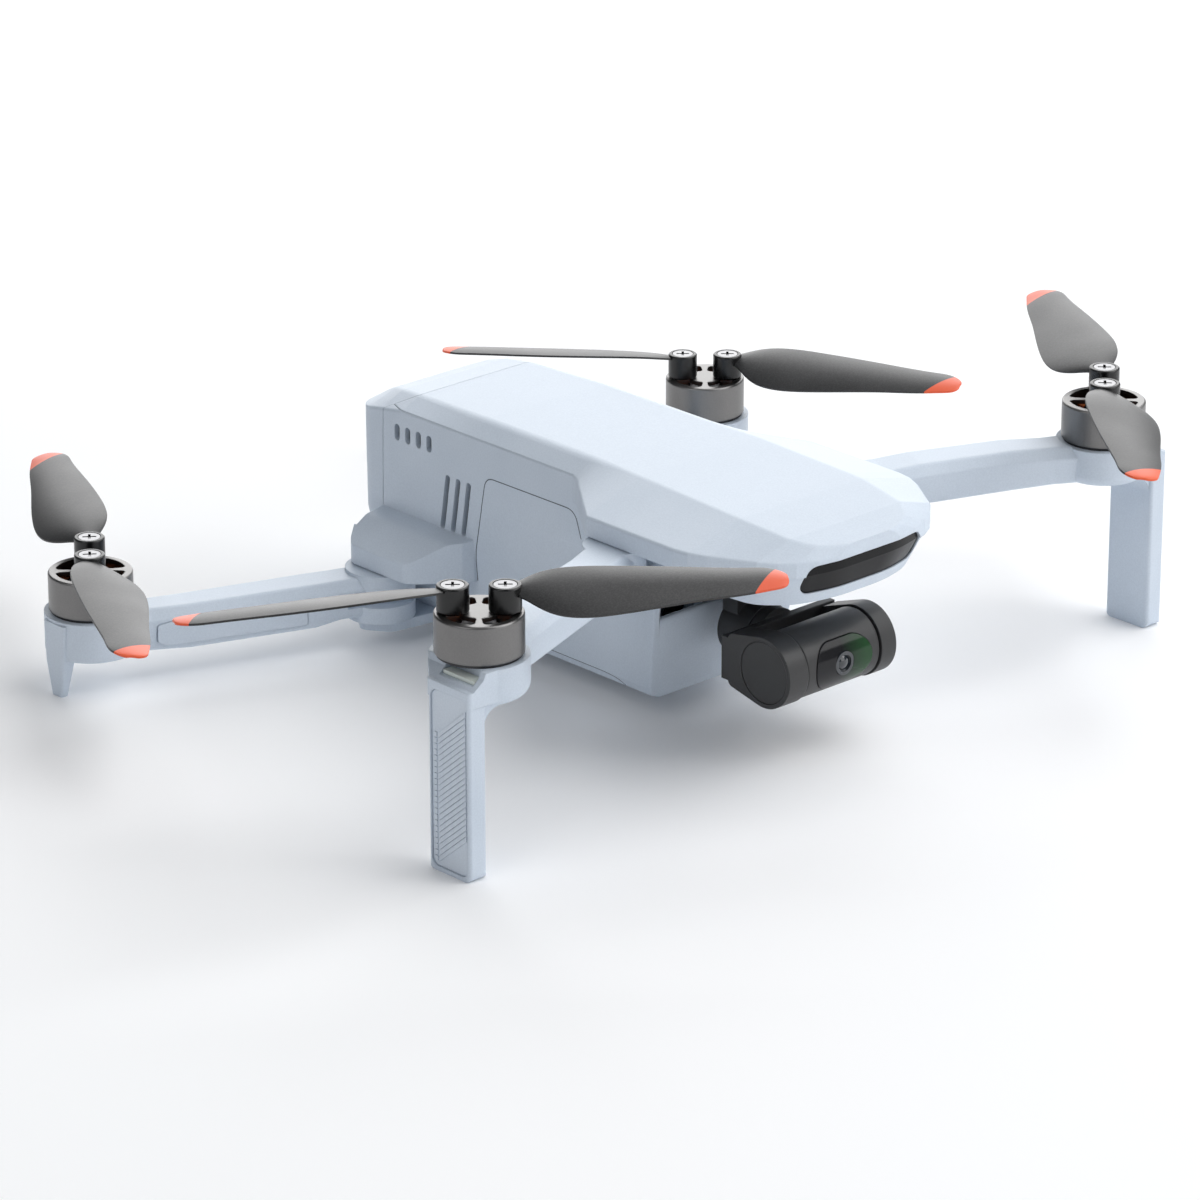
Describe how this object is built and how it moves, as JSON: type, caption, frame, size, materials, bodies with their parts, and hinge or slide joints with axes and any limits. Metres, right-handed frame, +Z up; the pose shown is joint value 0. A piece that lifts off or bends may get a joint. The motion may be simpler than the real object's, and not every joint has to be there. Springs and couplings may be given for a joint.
{
  "type": "folding camera quadcopter drone",
  "caption": "Small folding quadcopter with a gimbal camera under its nose, tall front legs, two-blade folding propellers and a sliding tail battery.",
  "frame": {"origin": "on the ground, under the centre of the four rotors", "axes": "+Z up, the nose points to -Y, the drone's right side is -X"},
  "size_m": [0.279, 0.2317, 0.0605],
  "materials": {
    "shell_plastic": "fine-grained matte moulded plastic, pale ice blue",
    "dark_window": "glossy near-black polycarbonate",
    "dark_plastic": "matte black plastic",
    "circuit_board": "green solder-masked laminate",
    "steel": "plain steel",
    "heat_sink_metal": "bare aluminium",
    "lens_glass": "coated black glass",
    "light_lens": "frosted clear plastic",
    "gimbal_black": "satin anodised black",
    "rubber": "soft black rubber",
    "copper": "enamelled copper windings on a steel core",
    "motor_metal": "satin turned aluminium",
    "blade_plastic": "fine-grained dark grey plastic with orange-red painted tips"
  },
  "bodies": {
    "frame": {"top_shell": "shell_plastic", "main_frame": "shell_plastic", "belly_shell": "shell_plastic", "belly_cover": "shell_plastic", "nose_bezel": "shell_plastic", "nose_window": "dark_window", "vent_mesh": "dark_plastic", "main_board": "circuit_board", "board_screws": "steel", "heat_sink": "heat_sink_metal", "gps_module": "circuit_board", "sensor_lenses": "lens_glass", "cover_screws": "steel", "hinge_pins": "steel", "front_bracket": "shell_plastic", "gimbal_connectors": "dark_plastic", "gimbal_ribbon": "dark_plastic", "gimbal_plate": "gimbal_black", "gimbal_dampers": "rubber"},
    "arm_front_right": {"arm_front_right": "shell_plastic", "stator_front_right": "copper", "leg_pad_right": "shell_plastic", "leg_light_right": "light_lens"},
    "rotor_front_right": {"bell_front_right": "motor_metal", "rotor_screws_front_right": "steel"},
    "blade_front_right_1": {"blade_front_right_1": "blade_plastic"},
    "blade_front_right_2": {"blade_front_right_2": "blade_plastic"},
    "arm_front_left": {"arm_front_left": "shell_plastic", "stator_front_left": "copper", "leg_pad_left": "shell_plastic", "leg_light_left": "light_lens"},
    "rotor_front_left": {"bell_front_left": "motor_metal", "rotor_screws_front_left": "steel"},
    "blade_front_left_1": {"blade_front_left_1": "blade_plastic"},
    "blade_front_left_2": {"blade_front_left_2": "blade_plastic"},
    "arm_rear_right": {"arm_rear_right": "shell_plastic", "stator_rear_right": "copper", "rear_arm_cover_right": "shell_plastic"},
    "rotor_rear_right": {"bell_rear_right": "motor_metal", "rotor_screws_rear_right": "steel"},
    "blade_rear_right_1": {"blade_rear_right_1": "blade_plastic"},
    "blade_rear_right_2": {"blade_rear_right_2": "blade_plastic"},
    "arm_rear_left": {"arm_rear_left": "shell_plastic", "stator_rear_left": "copper", "rear_arm_cover_left": "shell_plastic"},
    "rotor_rear_left": {"bell_rear_left": "motor_metal", "rotor_screws_rear_left": "steel"},
    "blade_rear_left_1": {"blade_rear_left_1": "blade_plastic"},
    "blade_rear_left_2": {"blade_rear_left_2": "blade_plastic"},
    "gimbal_yaw": {"gimbal_yaw_arm": "gimbal_black"},
    "gimbal_roll": {"gimbal_roll_arm": "gimbal_black", "gimbal_tilt_cap": "gimbal_black"},
    "camera": {"camera_barrel": "gimbal_black", "camera_window": "lens_glass", "camera_lens": "lens_glass"},
    "battery": {"battery_case": "dark_plastic", "battery_cap": "shell_plastic", "battery_lights": "light_lens"},
    "power_button": {"power_button": "shell_plastic"},
    "battery_latch": {"battery_latch": "shell_plastic"}
  },
  "joints": [
    {"name": "front_right_fold", "type": "hinge", "parent": "frame", "child": "arm_front_right", "pos_m": [-0.0322, -0.0385, 0.04], "axis": [0, 0, -1], "range_deg": [0, 100]},
    {"name": "front_right_spin", "type": "hinge", "parent": "arm_front_right", "child": "rotor_front_right", "pos_m": [-0.093, -0.0635, 0.0541], "axis": [0, 0, 1], "continuous": true},
    {"name": "blade_front_right_1_hinge", "type": "hinge", "parent": "rotor_front_right", "child": "blade_front_right_1", "pos_m": [-0.08906, -0.06705, 0.0541], "axis": [0, 0, 1], "range_deg": [-75, 50]},
    {"name": "blade_front_right_2_hinge", "type": "hinge", "parent": "rotor_front_right", "child": "blade_front_right_2", "pos_m": [-0.09694, -0.05995, 0.0541], "axis": [0, 0, 1], "range_deg": [-75, 40]},
    {"name": "front_left_fold", "type": "hinge", "parent": "frame", "child": "arm_front_left", "pos_m": [0.0322, -0.0385, 0.04], "axis": [0, 0, 1], "range_deg": [0, 100]},
    {"name": "front_left_spin", "type": "hinge", "parent": "arm_front_left", "child": "rotor_front_left", "pos_m": [0.093, -0.0635, 0.0541], "axis": [0, 0, -1], "continuous": true},
    {"name": "blade_front_left_1_hinge", "type": "hinge", "parent": "rotor_front_left", "child": "blade_front_left_1", "pos_m": [0.09688, -0.05989, 0.0541], "axis": [0, 0, -1], "range_deg": [-75, 65]},
    {"name": "blade_front_left_2_hinge", "type": "hinge", "parent": "rotor_front_left", "child": "blade_front_left_2", "pos_m": [0.08912, -0.06711, 0.0541], "axis": [0, 0, -1], "range_deg": [-75, 62]},
    {"name": "rear_right_fold", "type": "hinge", "parent": "frame", "child": "arm_rear_right", "pos_m": [-0.03, 0.04, 0.012], "axis": [0, 0, 1], "range_deg": [0, 98]},
    {"name": "rear_right_spin", "type": "hinge", "parent": "arm_rear_right", "child": "rotor_rear_right", "pos_m": [-0.093, 0.0635, 0.0268], "axis": [0, 0, -1], "continuous": true},
    {"name": "blade_rear_right_1_hinge", "type": "hinge", "parent": "rotor_rear_right", "child": "blade_rear_right_1", "pos_m": [-0.08974, 0.06768, 0.0268], "axis": [0, 0, 1], "range_deg": [-81.45, 0]},
    {"name": "blade_rear_right_2_hinge", "type": "hinge", "parent": "rotor_rear_right", "child": "blade_rear_right_2", "pos_m": [-0.09626, 0.05932, 0.0268], "axis": [0, 0, 1], "range_deg": [-59.5, 0]},
    {"name": "rear_left_fold", "type": "hinge", "parent": "frame", "child": "arm_rear_left", "pos_m": [0.03, 0.04, 0.012], "axis": [0, 0, -1], "range_deg": [0, 98]},
    {"name": "rear_left_spin", "type": "hinge", "parent": "arm_rear_left", "child": "rotor_rear_left", "pos_m": [0.093, 0.0635, 0.0268], "axis": [0, 0, 1], "continuous": true},
    {"name": "blade_rear_left_1_hinge", "type": "hinge", "parent": "rotor_rear_left", "child": "blade_rear_left_1", "pos_m": [0.09684, 0.05985, 0.0268], "axis": [0, 0, -1], "range_deg": [-61.55, 0]},
    {"name": "blade_rear_left_2_hinge", "type": "hinge", "parent": "rotor_rear_left", "child": "blade_rear_left_2", "pos_m": [0.08916, 0.06715, 0.0268], "axis": [0, 0, -1], "range_deg": [-69.79, 0]},
    {"name": "gimbal_yaw", "type": "hinge", "parent": "frame", "child": "gimbal_yaw", "pos_m": [0, -0.0505, 0.033], "axis": [0, 0, 1], "range_deg": [-25, 25]},
    {"name": "gimbal_roll", "type": "hinge", "parent": "gimbal_yaw", "child": "gimbal_roll", "pos_m": [0, -0.054, 0.0204], "axis": [0, 1, 0], "range_deg": [-30, 30]},
    {"name": "camera_tilt", "type": "hinge", "parent": "gimbal_roll", "child": "camera", "pos_m": [0, -0.068, 0.0204], "axis": [1, 0, 0], "range_deg": [-20, 90]},
    {"name": "battery_slide", "type": "slide", "parent": "frame", "child": "battery", "axis": [0, 1, 0], "range_m": [0, 0.08]},
    {"name": "power_button_press", "type": "slide", "parent": "battery", "child": "power_button", "axis": [0, -1, 0], "range_m": [0, 0.0006], "stiffness_N_per_m": 600, "springref_m": -0.0005},
    {"name": "battery_latch_slide", "type": "slide", "parent": "battery", "child": "battery_latch", "axis": [0, 0, 1], "range_m": [0, 0.0009], "stiffness_N_per_m": 500, "springref_m": -0.0008}
  ],
  "couplings": [
    {"joint": "blade_rear_right_1_hinge", "follows": "rear_right_fold", "ratio": -0.826},
    {"joint": "blade_rear_right_2_hinge", "follows": "rear_right_fold", "ratio": -0.602},
    {"joint": "blade_rear_left_1_hinge", "follows": "rear_left_fold", "ratio": -0.623},
    {"joint": "blade_rear_left_2_hinge", "follows": "rear_left_fold", "ratio": -0.707}
  ]
}
